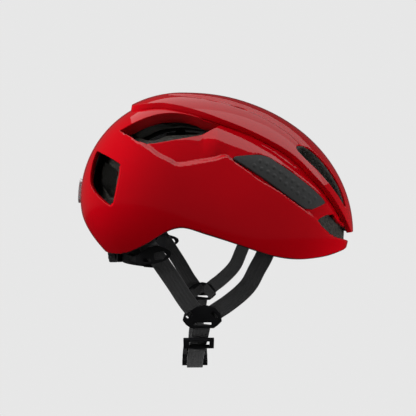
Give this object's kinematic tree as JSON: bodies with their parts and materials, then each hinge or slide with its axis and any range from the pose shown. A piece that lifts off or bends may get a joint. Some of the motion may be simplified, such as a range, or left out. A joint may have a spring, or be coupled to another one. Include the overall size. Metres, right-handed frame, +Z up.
{
  "type": "cycling helmet",
  "caption": "Aerodynamic cycling helmet with a raised crown, side vents, a dial-tightened retention cradle and a chin strap with a side-release buckle.",
  "frame": {"origin": "inside the head cavity, on the centre plane, above the middle of the arches over the ears", "axes": "+X to the front of the helmet, +Y to the wearer's left, +Z up"},
  "size_m": [0.2647, 0.204, 0.2634],
  "materials": {
    "shell_gloss": "gloss",
    "foam": "matte",
    "trim_plastic": "satin",
    "soft_rubber": "matte",
    "reflector": "gloss",
    "pad_fabric": "matte",
    "hook_tape": "matte",
    "cradle_plastic": "satin",
    "rack_plastic": "satin",
    "spring_steel": "satin",
    "screw_steel": "satin",
    "webbing": "matte",
    "buckle_plastic": "satin"
  },
  "bodies": {
    "helmet": {"crown_shell": "shell_gloss", "lower_shell": "shell_gloss", "eps_liner": "foam", "rim_trim": "trim_plastic", "grip_pad_right": "soft_rubber", "grip_pad_left": "soft_rubber", "rear_reflector": "reflector", "brow_pad": "pad_fabric", "crown_pad_centre": "pad_fabric", "crown_pad_right": "pad_fabric", "crown_pad_left": "pad_fabric", "pad_hook_dots": "hook_tape", "strap_guides": "trim_plastic", "pivot_socket_right": "cradle_plastic", "pivot_socket_left": "cradle_plastic"},
    "cradle": {"cradle_yoke": "cradle_plastic", "dial_housing_cover": "cradle_plastic", "cradle_arm_right": "cradle_plastic", "cradle_arm_left": "cradle_plastic", "nape_pad_right": "pad_fabric", "nape_pad_left": "pad_fabric", "click_spring": "spring_steel"},
    "dial": {"fit_dial": "soft_rubber", "dial_pinion": "rack_plastic", "dial_screw": "screw_steel"},
    "chin_harness": {"strap_divider_right": "buckle_plastic", "strap_divider_left": "buckle_plastic", "adjuster_ring": "buckle_plastic", "strap_keeper": "soft_rubber", "buckle_socket": "buckle_plastic", "front_strap_right": "webbing", "front_strap_left": "webbing", "rear_strap_right": "webbing", "rear_strap_left": "webbing", "chin_strap_right": "webbing", "chin_strap_left": "webbing"},
    "rack_right": {"rack_right": "rack_plastic"},
    "rack_left": {"rack_left": "rack_plastic"},
    "buckle_plug": {"buckle_plug": "buckle_plastic"},
    "prong_rear": {"prong_rear": "buckle_plastic"},
    "prong_front": {"prong_front": "buckle_plastic"}
  },
  "joints": [
    {"name": "cradle_tilt", "type": "hinge", "parent": "helmet", "child": "cradle", "pos_m": [-0.036, 0, 0.008], "axis": [0, 1, 0], "range_deg": [-6, 1.5]},
    {"name": "dial_turn", "type": "hinge", "parent": "cradle", "child": "dial", "pos_m": [-0.1, 0, -0.041], "axis": [1, 0, 0], "range_deg": [-143, 143]},
    {"name": "rack_right_slide", "type": "hinge", "parent": "cradle", "child": "rack_right", "pos_m": [-0.021, 0, -0.041], "axis": [0, 0, 1], "range_deg": [-7.75, 7.75]},
    {"name": "rack_left_slide", "type": "hinge", "parent": "cradle", "child": "rack_left", "pos_m": [-0.021, 0, -0.041], "axis": [0, 0, 1], "range_deg": [-7.75, 7.75]},
    {"name": "harness_swing", "type": "hinge", "parent": "helmet", "child": "chin_harness", "pos_m": [-0.012, 0, -0.036], "axis": [0, 1, 0], "range_deg": [-12, 12], "deforming": ["front_strap_right", "front_strap_left", "rear_strap_right", "rear_strap_left"]},
    {"name": "buckle_release", "type": "slide", "parent": "chin_harness", "child": "buckle_plug", "axis": [0, 1, 0], "range_m": [0, 0.026], "deforming": ["chin_strap_left", "prong_rear", "prong_front"]},
    {"name": "prong_rear_squeeze", "type": "hinge", "parent": "buckle_plug", "child": "prong_rear", "pos_m": [-0.0286, 0.0082, -0.146], "axis": [0, 0, 1], "range_deg": [0, 8.5], "stiffness_Nm_per_rad": 0.02},
    {"name": "prong_front_squeeze", "type": "hinge", "parent": "buckle_plug", "child": "prong_front", "pos_m": [-0.0134, 0.0082, -0.146], "axis": [0, 0, -1], "range_deg": [0, 8.5], "stiffness_Nm_per_rad": 0.02}
  ],
  "couplings": [
    {"joint": "rack_right_slide", "follows": "dial_turn", "ratio": 0.054054},
    {"joint": "rack_left_slide", "follows": "dial_turn", "ratio": -0.054054}
  ]
}
